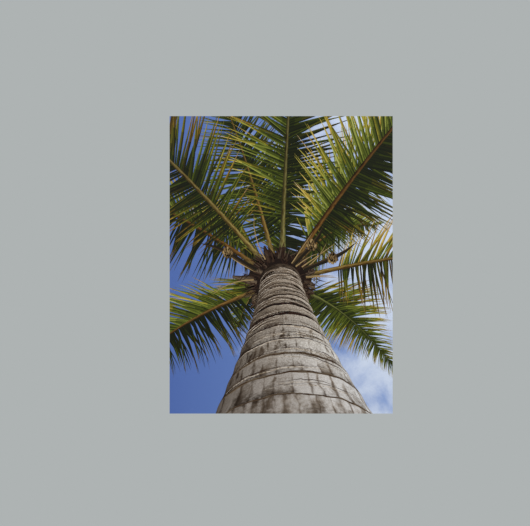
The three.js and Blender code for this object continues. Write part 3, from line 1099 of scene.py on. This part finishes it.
def torn_fibre(shape, draws, number):
    """A fibre of the torn sheath round the trunk's head, darker the nearer it is to the middle."""
    angle = draws.uniform(0, 2 * math.pi)
    out = draws.uniform(0.4, 0.85)
    start = CENTRE + sheet_direction(angle) * COLLAR_REACH * out
    way = sheet_direction(angle + draws.gauss(0, 0.6)) * draws.uniform(5, 24) * MM
    sag = np.array((draws.uniform(-3, 3), draws.uniform(-5, 2))) * MM
    half = draws.uniform(0.3, 1.2) * MM
    face = COLLAR_FACE + COLLAR_STEP * (6 + number % (COLLAR_STEPS - 6))
    tone = draws.choice((0, 0, 0, 1, 1, 2, 2, 3, 4) if out > 0.6 else (0, 0, 1, 1, 2))
    thread(shape, start, way, sag, half, face, tone)


def foot_fibres(shape, draws, frond):
    """Fibres that run up the foot of a frond's rib, which comes out from behind them."""
    outwards = unit(on_sheet(frond.points[4]) - CENTRE)
    sideways = np.array((-outwards[1], outwards[0]))
    for number in range(FOOT_FIBRES):
        start = CENTRE + outwards * COLLAR_REACH * 0.62 + sideways * draws.uniform(-8, 8) * MM
        way = (outwards + sideways * draws.uniform(-0.25, 0.25)) * draws.uniform(12, 30) * MM
        half = draws.uniform(0.4, 1.3) * MM
        face = COLLAR_FACE + COLLAR_STEP * (COLLAR_STEPS - number % 3)
        tone = draws.choice((0, 1, 1, 2, 3))
        thread(shape, start, way, 0, half, face, tone)


def print_collar(fronds):
    """Leaf bases and torn fibre round the trunk's head, on the dark of the crown's shade."""
    draws = random.Random(COLLAR_SEED)
    shape = Shape()
    width, height = COLLAR_REACH
    across = np.linspace(-0.72, 0.72, 15)
    line = CENTRE + np.stack((across * width, np.full(15, 0.1 * height)), axis=1)
    shape.ribbon(line, 0.68 * height * np.sqrt(1 - across**2 / 0.55), COLLAR_FACE, [(0,)] * 14)
    for number in range(LEAF_BASES):
        leaf_base(shape, draws, number)
    for number in range(COLLAR_FIBRES):
        torn_fibre(shape, draws, number)
    for frond in fronds:
        foot_fibres(shape, draws, frond)
    shape.piece("printed_collar", FIBRE_INKS, ["ink_collar"])


def flower_stem(shape, draws, angle, reach):
    """A straw-coloured stem that bore flowers, beside the nuts."""
    lean = angle + draws.uniform(-0.5, 0.5)
    shares = np.linspace(0.45, draws.uniform(0.9, 1.25), 6)
    curl = draws.uniform(-0.25, 0.25)
    line = [CENTRE + sheet_direction(lean + curl * share**2) * reach * share for share in shares]
    half_widths = np.array((1.3, 1.1, 1, 0.8, 0.6, 0.2)) * MM
    shape.ribbon(line, half_widths, NUT_FACE - NUT_STEP, [(3, 4)] * 5, strips=2)


def flower_sheath(shape, angle, reach):
    """The dark woody sheath that lies under the nuts, and ends in a long point."""
    line = [
        CENTRE + sheet_direction(angle + bow) * reach * share
        for share, bow in ((0.45, 0.06), (0.75, 0.02), (1, 0), (1.25, 0.02), (1.5, 0.06))
    ]
    half_widths = np.array((4.4, 4.2, 4.6, 3, 0.2)) * MM
    shape.ribbon(line, half_widths, NUT_FACE, [(0, 0, 1)] * 4, strips=3)


def young_nut(shape, draws, bunch, number):
    """A young nut in its dry bracts, in a spiral round the middle of its bunch."""
    away = sheet_direction(NUT_TURN * number) * NUT_RADIUS * math.sqrt(number / NUTS_PER_BUNCH)
    middle = bunch + 1.1 * away
    radius = NUT_RADIUS * draws.uniform(0.34, 0.52)
    turns = np.linspace(-0.98, 0.98, 9)
    tilt = draws.uniform(-0.6, 0.6)
    line = middle + np.stack((tilt * turns, turns), axis=1) * radius
    face = NUT_FACE + NUT_STEP * (1 + number % 4)
    tone = draws.choice((1, 2, 2, 3, 3))
    inks = [(tone - 1, tone, tone + 1, tone)] * 8
    shape.ribbon(line, 0.85 * radius * np.sqrt(1 - turns**2), face, inks, strips=4)


def print_nuts():
    """Bunches of young nuts on their sheaths, with flower stems beside them."""
    draws = random.Random(NUT_SEED)
    for number, (bearing, reach) in enumerate(NUT_STALKS):
        angle = math.radians(bearing)
        bunch = CENTRE + sheet_direction(angle) * reach
        shape = Shape()
        for _ in range(FLOWER_STEMS):
            flower_stem(shape, draws, angle, reach)
        flower_sheath(shape, angle, reach)
        for nut in range(NUTS_PER_BUNCH):
            young_nut(shape, draws, bunch, nut)
        node = numbered("ink_nut", number)
        shape.piece(numbered("printed_nut", number), NUT_INKS, [node])


# Sheet


def finish_sheet():
    """The sky is printed straight on the film. The film and its adhesive keep their plain shapes."""
    for name, material in (
        ("ink_sky", sky_ink()),
        ("vinyl_film", white_vinyl_film()),
        ("adhesive_layer", acrylic_adhesive()),
    ):
        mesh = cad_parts[name].data
        mesh.materials.clear()
        mesh.materials.append(material)


all_fronds = [Frond(number) for number in range(FROND_COUNT)]
shown_fronds = [frond for frond in all_fronds if numbered("ink_frond", frond.number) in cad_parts]
for frond in shown_fronds:
    print_blade(frond)
    print_rib(frond)
print_collar(shown_fronds)
print_trunk()
print_scars()
print_nuts()
finish_sheet()


# Camera, light and floor

CAMERA_PLACE = (-0.0331, -1.509, 0.0038)
FLOOR_LEVEL = -1.35
FLOOR_CORNERS = ((-2.2, -2.4), (2.2, -2.4), (2.2, 1.8), (-2.2, 1.8))
SOFTBOX_SIZE = 1.4
SOFTBOXES = (
    ("softbox_left", (-1.6, -1.9, 0.9), 27),
    ("softbox_right", (1.6, -1.9, 0.9), 27),
    ("softbox_back", (0.6, 2.2, 1.1), 18),
)


def set_camera():
    """Straight on, as far away as the print's size in the picture asks, and a little left of it."""
    data = bpy.data.cameras.new("camera")
    data.lens = 50
    camera = bpy.data.objects.new("camera", data)
    camera.location = CAMERA_PLACE
    camera.rotation_euler = (math.radians(90), 0, 0)
    bpy.context.scene.collection.objects.link(camera)
    bpy.context.scene.camera = camera


def set_light():
    """Plain grey surroundings, with a softbox on each side, wide of the glare, and one behind."""
    scene = bpy.context.scene
    scene.view_settings.view_transform = "Standard"
    scene.world = bpy.data.worlds.new("studio")
    scene.world.use_nodes = True
    backdrop = scene.world.node_tree.nodes["Background"]
    backdrop.inputs["Color"].default_value = linear("#AEB3B3")
    for name, place, power in SOFTBOXES:
        data = bpy.data.lights.new(name, "AREA")
        data.size = SOFTBOX_SIZE
        data.energy = power
        lamp = bpy.data.objects.new(name, data)
        lamp.location = place
        lamp.rotation_euler = (-lamp.location).to_track_quat("-Z", "Y").to_euler()
        scene.collection.objects.link(lamp)


def lay_floor():
    """A pale plaster floor well below the print."""
    mesh = bpy.data.meshes.new("floor")
    mesh.from_pydata([(x, y, FLOOR_LEVEL) for x, y in FLOOR_CORNERS], [], [(0, 1, 2, 3)])
    material = bpy.data.materials.new("pale_plaster")
    material.use_nodes = True
    shader = material.node_tree.nodes["Principled BSDF"]
    shader.inputs["Base Color"].default_value = linear("#D6D7D5")
    shader.inputs["Roughness"].default_value = 0.8
    mesh.materials.append(material)
    floor = bpy.data.objects.new("floor", mesh)
    bpy.context.scene.collection.objects.link(floor)


set_camera()
set_light()
lay_floor()
